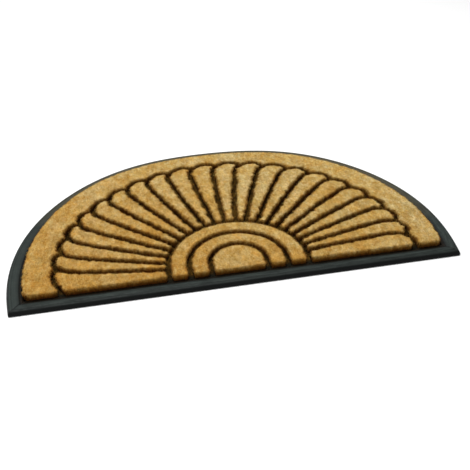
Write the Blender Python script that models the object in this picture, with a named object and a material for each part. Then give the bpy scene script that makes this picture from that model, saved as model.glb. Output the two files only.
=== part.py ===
"""Half-round doormat of moulded rubber and coir pile, metres, +Z up.

One rubber base carries a sloped rim and a pocket for each block of coir.
The webs left between the pockets are the ribs seen at the bottom of the
channels.  Twenty-six blocks of coir stand in the pockets: an outer band, a
fan of petals, two half rings and a half disc.  Plan shapes are drawn from the
centre lines of the channels, so one list of points shapes every petal.
"""
import math

import bmesh
import bpy
import numpy as np

# Outline: a straight front edge closed by one arc, drawn from a circle that is
# flattened at the crown, fuller at the shoulders and drawn in above the feet
FRONT_LENGTH = 0.750        # straight front edge
CIRCLE_DEPTH = 0.450        # front edge to the crown of the circle
CROWN_DROP = 0.0115         # most that the flattening takes off
CROWN_SPREAD = math.radians(21.5)
SHOULDERS = 0.0030          # most that the shoulders add
SHOULDERS_END = 0.85        # where they end, as a share of the way from crown to foot
DEPTH = CIRCLE_DEPTH - CROWN_DROP + SHOULDERS
CORNER_RADII = (0.003, 0.005)   # left and right front corners

# Rim, as (distance in from the edge, height) up the edge and down inside
RIM_STEPS = ((0.0, 0.0020), (0.0032, 0.0080), (0.0045, 0.0085), (0.0220, 0.0074),
             (0.0240, 0.0064))
RIM_POINTS = 121            # points along the arc
FLOOR = 0.0030              # rubber under the coir

# Coir
PILE_TOP = 0.0190
COIR_INSET = 0.0263         # coir edge, in from the outline
CHANNEL = 0.0084            # gap between two blocks of coir
CLEAR = 0.0003              # gap between coir and rubber
CHAMFER = 0.0016            # softened top edge of the pile
CORNER = 0.0026             # plan radius of the block corners
BAND_CORNERS = (0.0060, 0.0150)  # right and left feet of the outer band

# Half rings: arches with straight legs down to the front
RING_Y = 0.0474
RING_RADII = (0.0472, 0.0822, 0.1174)

# Fan of petals
PETALS = 22
FAN_Y = 0.0316              # point that the petals fan out from
FIRST_ANGLE = 172.8         # first channel between petals, degrees
PITCH = 8.21                # degrees from channel to channel
# Channel line: clockwise drift in pitches against radius from the fan point
STEM = ((0.100, -0.05), (0.135, 0.0), (0.170, 0.044), (0.205, 0.083),
        (0.240, 0.119), (0.262, 0.146))
# ... and its hook over the petal, against radius from the arc centre
HOOK = ((0.2795, 0.225), (0.2905, 0.34), (0.2978, 0.47), (0.3025, 0.62),
        (0.3056, 0.78), (0.3068, 0.94), (0.3057, 1.11), (0.3022, 1.27),
        (0.2977, 1.40), (0.2925, 1.51))
# The hook at the left foot comes straight up from the rim
FIRST_HOOK = ((0.2880, -0.35), (0.2908, -0.09), (0.2950, 0.12), (0.2989, 0.35),
              (0.3017, 0.59), (0.3032, 0.80), (0.3040, 0.97), (0.3035, 1.12)) + HOOK[7:]

ARC_RADIUS = (CIRCLE_DEPTH ** 2 + (FRONT_LENGTH / 2.0) ** 2) / (2.0 * CIRCLE_DEPTH)
ARC_Y = CIRCLE_DEPTH - ARC_RADIUS   # arc centre, behind the front edge
MID_Y = DEPTH / 2.0
TOLERANCE = 0.0002          # how far a chord may stray from its curve

for ob in list(bpy.data.objects):
    bpy.data.objects.remove(ob, do_unlink=True)

mat_set = bpy.data.collections.new("coir_doormat")
cutter_set = bpy.data.collections.new("cutters")
bpy.context.scene.collection.children.link(mat_set)
bpy.context.scene.collection.children.link(cutter_set)


def material(name, colour, roughness, sheen=0.0):
    """A plain Principled BSDF material."""
    mat = bpy.data.materials.new(name)
    mat.use_nodes = True
    shader = mat.node_tree.nodes["Principled BSDF"]
    shader.inputs["Base Color"].default_value = (*colour, 1.0)
    shader.inputs["Roughness"].default_value = roughness
    shader.inputs["Sheen Weight"].default_value = sheen
    mat.diffuse_color = (*colour, 1.0)
    return mat


RUBBER = material("rubber", (0.030, 0.034, 0.032), 0.55)
COIR = material("coir", (0.460, 0.280, 0.110), 0.95, 0.15)


# Plan lines: arrays of (x, y), y measured back from the front edge

def curve_through(points, steps=8):
    """Smooth line through the points, a Catmull-Rom spline."""
    p = np.asarray(points, float)
    p = np.vstack([2 * p[0] - p[1], p, 2 * p[-1] - p[-2]])
    t = np.linspace(0.0, 1.0, steps, endpoint=False)[:, None]
    a, b, c, d = (p[i:len(p) - 3 + i, None, :] for i in range(4))
    line = 0.5 * (2 * b + (c - a) * t + (2 * a - 5 * b + 4 * c - d) * t ** 2
                  + (3 * b - a - 3 * c + d) * t ** 3)
    return np.vstack([line.reshape(-1, 2), p[-2]])


def channel_line(k):
    """Centre line of channel k, out from the half rings and over its hook."""
    start = math.radians(FIRST_ANGLE - PITCH * (k - 1))
    pitch = math.radians(PITCH)
    points = []
    if k > 0:
        for r, drift in STEM:
            a = start - drift * pitch
            points.append((r * math.cos(a), FAN_Y + r * math.sin(a)))
    for r, drift in (HOOK if k > 0 else FIRST_HOOK):
        a = start - drift * pitch
        dx, dy = math.cos(a), math.sin(a)
        b = (FAN_Y - ARC_Y) * dy
        s = -b + math.sqrt(b * b - (FAN_Y - ARC_Y) ** 2 + r * r)
        points.append((s * dx, FAN_Y + s * dy))
    return curve_through(points)


def arch(radius):
    """Half ring line, anticlockwise: up the right leg, over, down the left."""
    a = np.linspace(0.0, math.pi, 97)
    over = np.stack([radius * np.cos(a), RING_Y + radius * np.sin(a)], 1)
    return np.vstack([[radius, 0.0], over, [-radius, 0.0]])


def front_line(start, end, grow):
    """Front edge of the coir from x start to x end, moved forward by grow."""
    return np.array([[start, COIR_INSET - grow], [end, COIR_INSET - grow]])


def back_radius(angle):
    """Distance of the back edge from the arc centre in a direction."""
    crown = np.abs((angle + math.pi / 2.0) % (2.0 * math.pi) - math.pi)
    share = crown / (math.pi / 2.0 + math.asin(ARC_Y / ARC_RADIUS))
    return (ARC_RADIUS - CROWN_DROP * np.exp(-(crown / CROWN_SPREAD) ** 2)
            + SHOULDERS * (1.0 - share ** 4) * (1.0 - (share / SHOULDERS_END) ** 8))


def outer_arc(inset, steps, overrun=0.0):
    """Back edge, anticlockwise, the whole outline moved in by inset.

    It ends on the front edge, or runs past it by overrun, in radians.
    """
    foot = 0.0
    for _ in range(4):
        foot = math.asin((ARC_Y - inset) / (back_radius(-foot) - inset))
    a = np.linspace(-foot - overrun, math.pi + foot + overrun, steps)
    r = back_radius(a) - inset
    return np.stack([r * np.cos(a), ARC_Y + r * np.sin(a)], 1)


def beside(line, distance):
    """The line moved sideways to its left."""
    t = np.gradient(line, axis=0)
    t /= np.linalg.norm(t, axis=1)[:, None]
    return line + distance * np.stack([-t[:, 1], t[:, 0]], 1)


def crossing(a, b):
    """Where line a last crosses line b: segment on each, and the point."""
    p, r = a[:-1, None], (a[1:] - a[:-1])[:, None]
    q, s = b[None, :-1], (b[1:] - b[:-1])[None]
    den = r[..., 0] * s[..., 1] - r[..., 1] * s[..., 0]
    den = np.where(np.abs(den) < 1e-18, 1e-18, den)
    w = q - p
    t = (w[..., 0] * s[..., 1] - w[..., 1] * s[..., 0]) / den
    u = (w[..., 0] * r[..., 1] - w[..., 1] * r[..., 0]) / den
    hits = np.argwhere((t >= 0) & (t <= 1) & (u >= 0) & (u <= 1))
    if not len(hits):
        raise ValueError("two sides of an outline do not meet")
    i, j = max(hits.tolist(), key=lambda hit: hit[0] + t[hit[0], hit[1]])
    return i, j, a[i] + t[i, j] * (a[i + 1] - a[i])


def cut_back(line, length):
    """The line with a length taken off its start, and the new start."""
    seg = np.linalg.norm(np.diff(line, axis=0), axis=1)
    run = np.concatenate([[0.0], np.cumsum(seg)])
    length = min(length, 0.45 * run[-1])
    i = np.searchsorted(run, length, side="right") - 1
    start = line[i] + (line[i + 1] - line[i]) * (length - run[i]) / seg[i]
    return np.vstack([start, line[i + 1:]])


def thin(line):
    """Drop points that lie on a chord within the tolerance."""
    keep = np.zeros(len(line), bool)
    keep[[0, -1]] = True
    todo = [(0, len(line) - 1)]
    while todo:
        i, j = todo.pop()
        if j < i + 2:
            continue
        c = line[j] - line[i]
        w = line[i + 1:j] - line[i]
        far = np.abs(c[0] * w[:, 1] - c[1] * w[:, 0]) / max(np.linalg.norm(c), 1e-12)
        m = int(far.argmax())
        if far[m] > TOLERANCE:
            m += i + 1
            keep[m] = True
            todo += [(i, m), (m, j)]
    return line[keep]


def outline(sides, radii):
    """Closed outline from sides in anticlockwise order, corners rounded.

    radii[n] rounds the corner between side n and the next one.
    """
    n = len(sides)
    ends = [crossing(sides[m], sides[(m + 1) % n]) for m in range(n)]
    trimmed = []
    for m in range(n):
        _, first, start = ends[m - 1]
        last, _, end = ends[m]
        trimmed.append(np.vstack([start, sides[m][first + 1:last + 1], end]))
    for m in range(n):
        a, b = trimmed[m], trimmed[(m + 1) % n]
        u, v = a[-2] - a[-1], b[1] - b[0]
        cosine = np.dot(u, v) / (np.linalg.norm(u) * np.linalg.norm(v))
        half = 0.5 * math.acos(max(-1.0, min(1.0, cosine)))
        back = radii[m] / math.tan(half)
        trimmed[m] = cut_back(a[::-1], back)[::-1]
        trimmed[(m + 1) % n] = cut_back(b, back)
    loop = []
    t = np.array([1.0, 2.0])[:, None] / 3.0
    w = 1.5 * t * (1 - t)
    for m in range(n):
        a, b, knee = trimmed[m], trimmed[(m + 1) % n], ends[m][2]
        bend = ((1 - t) ** 2 * a[-1] + w * knee + t ** 2 * b[0]) / ((1 - t) ** 2 + w + t ** 2)
        loop += [thin(a), bend]
    loop = np.vstack(loop)
    step = np.linalg.norm(loop - np.roll(loop, 1, axis=0), axis=1)
    return loop[step > 0.00015]


LINES = [channel_line(k) for k in range(PETALS)]


def petal_outline(j, grow):
    """Petal j of the fan, grown outwards by grow."""
    h = CHANNEL / 2.0 - grow
    ring = beside(arch(RING_RADII[2])[::-1], h)
    left = beside(LINES[j - 1][::-1], h)
    if j == 1:
        sides = [beside(LINES[1], h), left, front_line(-0.4, 0.0, grow), ring]
    elif j == PETALS:
        sides = [front_line(0.0, 0.4, grow), left, ring]
    else:
        sides = [beside(LINES[j], h), left, ring]
    return outline(sides, [CORNER + grow] * len(sides))


def ring_outline(outer, inner, grow):
    """Half ring between two channel arches, grown outwards by grow."""
    h = CHANNEL / 2.0 - grow
    return outline([beside(arch(outer), h), front_line(-0.2, 0.0, grow),
                    beside(arch(inner)[::-1], h), front_line(0.0, 0.2, grow)],
                   [CORNER + grow] * 4)


def disc_outline(grow):
    """Half disc inside the smallest arch, grown outwards by grow."""
    h = CHANNEL / 2.0 - grow
    return outline([beside(arch(RING_RADII[0]), h), front_line(-0.1, 0.1, grow)],
                   [CORNER + grow] * 2)


def band_outline(grow):
    """Outer band: back arc, two feet and the scalloped inner edge."""
    h = CHANNEL / 2.0 - grow
    sides = [outer_arc(COIR_INSET - grow, 481, 0.1), front_line(-0.4, 0.0, grow)]
    sides += [beside(line, h) for line in LINES] + [front_line(0.0, 0.4, grow)]
    radii = [BAND_CORNERS[1] + grow] + [CORNER + grow] * (PETALS + 1)
    radii += [BAND_CORNERS[0] + grow]
    return outline(sides, radii)


BLOCKS = [("coir_band", band_outline)]
BLOCKS += [("coir_petal_%02d" % j, lambda g, j=j: petal_outline(j, g))
           for j in range(1, PETALS + 1)]
BLOCKS += [("coir_ring_outer", lambda g: ring_outline(RING_RADII[2], RING_RADII[1], g)),
           ("coir_ring_inner", lambda g: ring_outline(RING_RADII[1], RING_RADII[0], g)),
           ("coir_centre", disc_outline)]


def plate(loop, bottom, top):
    """Upright plate on a closed outline: a filled 2D curve with depth."""
    curve = bpy.data.curves.new("plan", "CURVE")
    curve.dimensions = "2D"
    curve.fill_mode = "BOTH"
    curve.extrude = (top - bottom) / 2.0
    spline = curve.splines.new("POLY")
    spline.points.add(len(loop) - 1)
    spline.points.foreach_set("co", np.hstack(
        [loop, np.zeros((len(loop), 1)), np.ones((len(loop), 1))]).ravel())
    spline.use_cyclic_u = True
    holder = bpy.data.objects.new("plan", curve)
    bpy.context.scene.collection.objects.link(holder)
    bpy.context.view_layer.update()
    mesh = bpy.data.meshes.new_from_object(
        holder.evaluated_get(bpy.context.evaluated_depsgraph_get()))
    bpy.data.objects.remove(holder, do_unlink=True)
    bpy.data.curves.remove(curve)
    bm = bmesh.new()
    bm.from_mesh(mesh)
    bmesh.ops.remove_doubles(bm, verts=bm.verts[:], dist=0.00001)
    bmesh.ops.translate(bm, verts=bm.verts[:], vec=(0.0, -MID_Y, (top + bottom) / 2.0))
    bmesh.ops.recalc_face_normals(bm, faces=bm.faces[:])
    bm.to_mesh(mesh)
    bm.free()
    return mesh


def block(loop, bottom, top, chamfer):
    """Solid on an outline with a chamfered top edge, by one inset."""
    bm = bmesh.new()
    verts = [bm.verts.new((x, y - MID_Y, bottom)) for x, y in loop]
    foot = bm.faces.new(verts[::-1])
    made = bmesh.ops.extrude_face_region(bm, geom=[foot], use_keep_orig=True)
    face = [g for g in made["geom"] if isinstance(g, bmesh.types.BMFace)][0]
    bmesh.ops.translate(bm, verts=face.verts[:], vec=(0.0, 0.0, top - chamfer - bottom))
    bmesh.ops.recalc_face_normals(bm, faces=bm.faces[:])
    bmesh.ops.inset_individual(bm, faces=[face], thickness=chamfer, depth=chamfer,
                               use_even_offset=True)
    mesh = bpy.data.meshes.new("block")
    bm.to_mesh(mesh)
    bm.free()
    return mesh


def place(name, mesh, mat):
    """Put a mesh in the mat collection as one named sub-part."""
    mesh.name = name
    mesh.materials.clear()
    mesh.materials.append(mat)
    mesh.shade_smooth()
    mesh.set_sharp_from_angle(angle=math.radians(35.0))
    ob = bpy.data.objects.new(name, mesh)
    mat_set.objects.link(ob)
    return ob


def cut(ob, mesh, name):
    """Take a cutter's shape out of an object with an exact Boolean."""
    cutter = bpy.data.objects.new(name, mesh)
    cutter.hide_render = True
    cutter.display_type = "WIRE"
    cutter_set.objects.link(cutter)
    mod = ob.modifiers.new(name, "BOOLEAN")
    mod.operation = "DIFFERENCE"
    mod.solver = "EXACT"
    mod.object = cutter


def rubber_base():
    """Rimmed slab: the outline's face raised ring by ring, with mitred corners."""
    bm = bmesh.new()
    place_of = bm.verts.layers.int.new("place")
    for i, (x, y) in enumerate(outer_arc(0.0, RIM_POINTS)):
        bm.verts.new((x, y - MID_Y, 0.0))[place_of] = i
    face = bm.faces.new(list(bm.verts)[::-1])
    for step, (inset, height) in enumerate(RIM_STEPS):
        made = bmesh.ops.extrude_face_region(bm, geom=[face], use_keep_orig=True)
        if step:
            bmesh.ops.delete(bm, geom=[face], context="FACES_ONLY")
        face = [g for g in made["geom"] if isinstance(g, bmesh.types.BMFace)][0]
        ring = outer_arc(inset, RIM_POINTS)
        for v in face.verts:
            x, y = ring[v[place_of]]
            v.co = (x, y - MID_Y, height)
    bmesh.ops.recalc_face_normals(bm, faces=bm.faces[:])
    mesh = bpy.data.meshes.new("rubber_base")
    bm.to_mesh(mesh)
    bm.free()
    return place("rubber_base", mesh, RUBBER)


def corner_cutter(side, radius):
    """The waste outside a rounded front corner; side is -1 left, 1 right."""
    corner = np.array([side * FRONT_LENGTH / 2.0, 0.0])
    along_front = np.array([-side, 0.0])
    along_arc = np.array([side * ARC_Y, FRONT_LENGTH / 2.0]) / ARC_RADIUS
    half = 0.5 * math.acos(float(np.dot(along_front, along_arc)))
    back = radius / math.tan(half)
    a, b = corner + along_front * back, corner + along_arc * back
    centre = corner + (along_front + along_arc) / np.linalg.norm(
        along_front + along_arc) * radius / math.sin(half)
    start = math.atan2(*(a - centre)[::-1])
    sweep = (math.atan2(*(b - centre)[::-1]) - start + math.pi) % (2 * math.pi) - math.pi
    arc = [centre + radius * np.array([math.cos(start + sweep * t), math.sin(start + sweep * t)])
           for t in np.linspace(0.0, 1.0, 7)]
    out = corner - (along_front + along_arc) * 0.006
    loop = np.array([a - along_arc * 0.004] + arc + [b - along_front * 0.004, out])
    area = np.sum(loop[:, 0] * np.roll(loop[:, 1], -1) - loop[:, 1] * np.roll(loop[:, 0], -1))
    return plate(loop if area > 0 else loop[::-1], -0.004, 0.014)


base = rubber_base()
for name, plan in BLOCKS:
    place(name, block(plan(0.0), FLOOR + CLEAR, PILE_TOP, CHAMFER), COIR)
    cut(base, plate(plan(CLEAR), FLOOR, 0.014), "pocket_" + name)
cut(base, corner_cutter(-1, CORNER_RADII[0]), "corner_left")
cut(base, corner_cutter(1, CORNER_RADII[1]), "corner_right")
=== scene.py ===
"""Half-round doormat: a moulded rubber base with a mitred rim and ribs, and
blocks of brushed coir standing in it.

Metres, +Z up, x along the front edge, y back.  Each block of coir is one closed
surface worked out from its plan outline, with a second piece of cut fibre ends
growing out of it.  The rubber is a rim profile carried round the outline, a
ribbed web carried along the channels, and a plate below.
"""

import math

import bpy
import numpy as np
from mathutils import Matrix


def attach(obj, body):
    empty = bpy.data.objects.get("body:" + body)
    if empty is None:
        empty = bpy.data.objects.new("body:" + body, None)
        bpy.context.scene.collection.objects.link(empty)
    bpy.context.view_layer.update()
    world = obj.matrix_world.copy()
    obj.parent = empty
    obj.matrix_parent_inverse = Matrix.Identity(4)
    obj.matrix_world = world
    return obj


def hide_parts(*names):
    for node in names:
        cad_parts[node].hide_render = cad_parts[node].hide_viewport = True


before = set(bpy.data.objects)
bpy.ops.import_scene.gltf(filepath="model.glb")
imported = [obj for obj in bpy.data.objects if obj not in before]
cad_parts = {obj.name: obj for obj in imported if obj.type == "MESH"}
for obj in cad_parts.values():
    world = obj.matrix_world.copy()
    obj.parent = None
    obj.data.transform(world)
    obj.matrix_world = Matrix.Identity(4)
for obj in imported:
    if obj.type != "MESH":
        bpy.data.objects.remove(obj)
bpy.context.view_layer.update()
SCENE = bpy.context.scene
RNG = np.random.default_rng(41)

# Driving sizes, in metres and degrees: the solids have the same, but for the
# corners of the pile, which are rounder here
FRONT_LENGTH = 0.750
CIRCLE_DEPTH = 0.450                # front edge to crown of the circle under the back edge
CROWN_DROP = 0.0115                 # taken off that circle at the crown
CROWN_SPREAD = math.radians(21.5)
SHOULDERS = 0.0030                  # added to it, from the crown out to the shoulders
SHOULDERS_END = 0.85                # where that ends, as a share of the way to the foot
DEPTH = CIRCLE_DEPTH - CROWN_DROP + SHOULDERS
CORNER_RADII = (0.003, 0.005)       # left and right front corners of the rubber
WEB_TOP = 0.0064                    # top of the ribs between the blocks
RIM_TOP = 0.0085                    # crown of the rim
PILE_FOOT = 0.0033
COIR_INSET = 0.0263                 # edge of the coir, in from the outline
CHANNEL = 0.0084                    # gap between two blocks of coir
CORNER = 0.0042                     # corners of the blocks
TIP_CORNERS = (0.0062, 0.0036)      # tips of the petals, from the left of the fan to its right
FIRST_TIP = 0.0095                  # tip of the first petal
BAND_CORNERS = (0.0090, 0.0150)     # right and left feet of the outer band
RING_Y = 0.0474                     # centre of the disc and the half rings
RING_RADII = (0.0472, 0.0822, 0.1174)   # channels round them
PETALS = 22
FAN_Y = 0.0316                      # point that the petals fan out from
FIRST_ANGLE = 172.8                 # first channel between petals
PITCH = 8.21                        # from one channel to the next
# Channel between two petals, as (radius, drift in pitches): its stem, then its hook
STEM = ((0.100, -0.05), (0.135, 0.0), (0.170, 0.044), (0.205, 0.083),
        (0.240, 0.119), (0.262, 0.146))
HOOK = ((0.2795, 0.225), (0.2905, 0.34), (0.2978, 0.47), (0.3025, 0.62),
        (0.3056, 0.78), (0.3068, 0.94), (0.3057, 1.11), (0.3022, 1.27),
        (0.2977, 1.40), (0.2925, 1.51))
FIRST_HOOK = ((0.2880, -0.35), (0.2908, -0.09), (0.2950, 0.12), (0.2989, 0.35),
              (0.3017, 0.59), (0.3032, 0.80), (0.3040, 0.97), (0.3035, 1.12)) + HOOK[7:]
ARC_RADIUS = (CIRCLE_DEPTH ** 2 + (FRONT_LENGTH / 2.0) ** 2) / (2.0 * CIRCLE_DEPTH)
ARC_Y = CIRCLE_DEPTH - ARC_RADIUS
MID_Y = DEPTH / 2.0

STEP = 0.0017                       # spacing of points round a block of coir
PACKED_TOP = 0.0182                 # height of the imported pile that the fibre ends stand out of
SHOULDER = 0.0156                   # height where its wall turns over into the top
ON_EDGE = 0.0006                    # how near to the coir's own edge counts as on it
NO_RUN = 1e-6                       # a side that doesn't run along the front edge
BRUSHED = (1.0, 0.6, 1.0)           # draws patches out front to back, as the pile is brushed

# Walls: size and swing of their tufts, how deep their light reaches, and how much
# is left at the bottom of a channel
COARSE_TUFT, COARSE_SWING = 0.0060, 0.00165
FINE_TUFT, FINE_SWING = 0.0032, 0.00125
LIT_DEPTH_RIM, LIT_DEPTH_CHANNEL = 0.0066, 0.0033
CHANNEL_LIGHT = 0.17
# Lean of the pile over the back rim, and what is taken off it, each with the
# degrees along the arc that it starts and ends at
LEAN, LEAN_ARC = 0.0030, (108.0, 160.0)
LEAN_LOSS, LOSS_FADES = 0.0014, (144.0, 158.0)

# Fibres: how many, then the least and most of each measure
FIBRES_TO_CM2 = 60                  # cut fibre ends that show, on a square centimetre
WALL_FIBRE_STEP = 0.00062           # one long fibre down a side wall every this far
STRAY_STEP = 0.00085                # one stray fibre out of a shoulder every this far
TOP_RADII, WALL_RADII, STRAY_RADII = (0.00018, 0.00031), (0.00020, 0.00034), (0.00014, 0.00024)
WALL_ROOTS, WALL_TIPS = (0.0040, 0.0125), (0.0155, 0.0186)
WALL_RISE = (0.005, 0.012)
STRAY_ROOTS, STRAY_REACH = (SHOULDER, 0.0180), (0.0018, 0.0042)
ROOT_DEPTH = 0.0004                 # how deep a fibre of the top is set
LEAN_TUFT = 0.0028                  # size of the tufts of the top that lean together
DIRECTION_STEP = 0.0004             # length that an outline's direction is read over

# Places in the bake map, as (corner, size): what shows, and the strip of what doesn't
SEEN_MAP = np.array(((0.004, 0.026), (0.992, 0.970)))
UNSEEN_MAP = np.array(((0.004, 0.002), (0.992, 0.020)))


# Plan lines: arrays of (x, y), y measured back from the front edge

def curve_through(points, steps=24):
    """Smooth line through the points: a Catmull-Rom cubic between each two."""
    p = np.asarray(points, float)
    p = np.vstack([2 * p[0] - p[1], p, 2 * p[-1] - p[-2]])
    t = np.linspace(0.0, 1.0, steps, endpoint=False)[:, None]
    a, b, c, d = (p[i:len(p) - 3 + i, None, :] for i in range(4))
    line = 0.5 * (2 * b + (c - a) * t + (2 * a - 5 * b + 4 * c - d) * t ** 2
                  + (3 * b - a - 3 * c + d) * t ** 3)
    return np.vstack([line.reshape(-1, 2), p[-2]])


def channel_line(k):
    """Centre line of channel k: a point at each radius, turned by the drift there.

    Stem radii are from the fan point, hook radii from the centre of the back arc.
    """
    start, pitch = math.radians(FIRST_ANGLE - PITCH * (k - 1)), math.radians(PITCH)
    stem, hook = np.array(STEM), np.array(HOOK if k else FIRST_HOOK)
    a = start - stem[:, 1] * pitch
    up = np.stack([stem[:, 0] * np.cos(a), FAN_Y + stem[:, 0] * np.sin(a)], 1)
    a = start - hook[:, 1] * pitch
    b = (FAN_Y - ARC_Y) * np.sin(a)
    s = -b + np.sqrt(b * b - (FAN_Y - ARC_Y) ** 2 + hook[:, 0] ** 2)
    over = np.stack([s * np.cos(a), FAN_Y + s * np.sin(a)], 1)
    return curve_through(np.vstack([up, over]) if k else over)


def arch(radius):
    """Half ring line: up the right leg, half a circle over, down the left leg."""
    a = np.linspace(0.0, math.pi, 241)
    over = np.stack([radius * np.cos(a), RING_Y + radius * np.sin(a)], 1)
    return np.vstack([[radius, 0.0], over, [-radius, 0.0]])


def front_line(start, end):
    return np.array([[start, COIR_INSET], [end, COIR_INSET]])


def back_radius(angle):
    """Distance of the back edge from the arc centre: a circle's, less a bell curve
    round the crown, and more at the shoulders by one less the fourth power of the
    share of the way to the foot, times one less an eighth power that turns it
    negative above the foot."""
    crown = np.abs((angle + math.pi / 2.0) % (2.0 * math.pi) - math.pi)
    share = crown / (math.pi / 2.0 + math.asin(ARC_Y / ARC_RADIUS))
    return (ARC_RADIUS - CROWN_DROP * np.exp(-(crown / CROWN_SPREAD) ** 2)
            + SHOULDERS * (1.0 - share ** 4) * (1.0 - (share / SHOULDERS_END) ** 8))


def from_centre(points):
    """Direction and distance of each point from the arc centre."""
    x, y = points[:, 0], points[:, 1] - ARC_Y
    return np.arctan2(y, x), np.hypot(x, y)


def back_arc(inset, steps, overrun=0.0):
    """The back edge moved in by inset, anticlockwise, run on past the front edge."""
    foot = 0.0
    for _ in range(4):
        foot = math.asin((ARC_Y - inset) / (back_radius(-foot) - inset))
    a = np.linspace(-foot - overrun, math.pi + foot + overrun, steps)
    r = back_radius(a) - inset
    return np.stack([r * np.cos(a), ARC_Y + r * np.sin(a)], 1)


def beside(line, distance):
    """The line moved sideways to its left, square to its own direction."""
    t = np.gradient(line, axis=0)
    t /= np.linalg.norm(t, axis=1)[:, None]
    return line + distance * np.stack([-t[:, 1], t[:, 0]], 1)


def crossing(a, b):
    """Where line a last crosses line b: the segment on each, and the point."""
    p, r = a[:-1, None], (a[1:] - a[:-1])[:, None]
    q, s = b[None, :-1], (b[1:] - b[:-1])[None]
    den = r[..., 0] * s[..., 1] - r[..., 1] * s[..., 0]
    den = np.where(np.abs(den) < 1e-18, 1e-18, den)
    w = q - p
    t = (w[..., 0] * s[..., 1] - w[..., 1] * s[..., 0]) / den
    u = (w[..., 0] * r[..., 1] - w[..., 1] * r[..., 0]) / den
    hits = np.argwhere((t >= 0) & (t <= 1) & (u >= 0) & (u <= 1))
    i, j = max(hits.tolist(), key=lambda hit: hit[0] + t[hit[0], hit[1]])
    return i, j, a[i] + t[i, j] * (a[i + 1] - a[i])


def run_of(line):
    """Length along the line at each of its points."""
    return np.concatenate([[0.0], np.cumsum(np.linalg.norm(np.diff(line, axis=0), axis=1))])


def at_lengths(line, lengths):
    run = run_of(line)
    return np.stack([np.interp(lengths, run, line[:, k]) for k in range(line.shape[1])], 1)


def outline(sides, radii):
    """Closed outline from sides in anticlockwise order; radii[n] rounds the
    corner between side n and the next with a conic arc."""
    n = len(sides)
    ends = [crossing(sides[m], sides[(m + 1) % n]) for m in range(n)]
    parts = []
    for m in range(n):
        _, first, start = ends[m - 1]
        last, _, end = ends[m]
        parts.append(np.vstack([start, sides[m][first + 1:last + 1], end]))
    for m in range(n):
        a, b = parts[m], parts[(m + 1) % n]
        u, v = a[-2] - a[-1], b[1] - b[0]
        cosine = np.dot(u, v) / (np.linalg.norm(u) * np.linalg.norm(v))
        back = radii[m] / math.tan(0.5 * math.acos(max(-1.0, min(1.0, cosine))))
        for line, which in ((a[::-1], m), (b, (m + 1) % n)):
            run = run_of(line)
            cut = min(back, 0.45 * run[-1])
            kept = np.vstack([at_lengths(line, [cut]), line[run > cut]])
            parts[which] = kept[::-1] if which == m and line is not b else kept
    t = np.linspace(0.0, 1.0, 10)[1:-1, None]
    w = 1.5 * t * (1 - t)
    loop = []
    for m in range(n):
        a, b, knee = parts[m][-1], parts[(m + 1) % n][0], ends[m][2]
        loop += [parts[m], ((1 - t) ** 2 * a + w * knee + t ** 2 * b) / ((1 - t) ** 2 + w + t ** 2)]
    return np.vstack(loop)


LINES = [channel_line(k) for k in range(PETALS)]
HALF = CHANNEL / 2.0


def petal_outline(j):
    """Petal j: between channels j - 1 and j, on the largest half ring."""
    ring, left = beside(arch(RING_RADII[2])[::-1], HALF), beside(LINES[j - 1][::-1], HALF)
    if j == 1:
        sides = [beside(LINES[1], HALF), left, front_line(-0.4, 0.0), ring]
    elif j == PETALS:
        sides = [front_line(0.0, 0.4), left, ring]
    else:
        sides = [beside(LINES[j], HALF), left, ring]
    tip = FIRST_TIP if j == 1 else TIP_CORNERS[0] + (TIP_CORNERS[1] - TIP_CORNERS[0]) * j / PETALS
    return outline(sides, [tip] + [CORNER] * (len(sides) - 1))


def ring_outline(outer, inner):
    return outline([beside(arch(outer), HALF), front_line(-0.2, 0.0),
                    beside(arch(inner)[::-1], HALF), front_line(0.0, 0.2)], [CORNER] * 4)


def disc_outline():
    return outline([beside(arch(RING_RADII[0]), HALF), front_line(-0.1, 0.1)], [CORNER] * 2)


def band_outline():
    sides = [back_arc(COIR_INSET, 961, 0.1), front_line(-0.4, 0.0)]
    sides += [beside(line, HALF) for line in LINES] + [front_line(0.0, 0.4)]
    return outline(sides, [BAND_CORNERS[1]] + [CORNER] * (PETALS + 1) + [BAND_CORNERS[0]])


# Numbers that vary smoothly from place to place

LATTICE = np.random.default_rng(7).random((64, 64, 64), np.float32) * 2.0 - 1.0


def drift(points, size):
    """Smooth noise, -1 to 1: random values on a lattice of that cell size, eased
    between the eight corners round each point."""
    g = np.asarray(points) / size + 19.7
    low = np.floor(g).astype(int)
    f = g - low
    f = f * f * (3.0 - 2.0 * f)
    total = 0.0
    for corner in range(8):
        bit = np.array([corner & 1, corner >> 1 & 1, corner >> 2 & 1])
        weight = np.prod(np.where(bit, f, 1.0 - f), axis=1)
        i = (low + bit) % 64
        total = total + weight * LATTICE[i[:, 0], i[:, 1], i[:, 2]]
    return total


# Meshes from arrays

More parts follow.
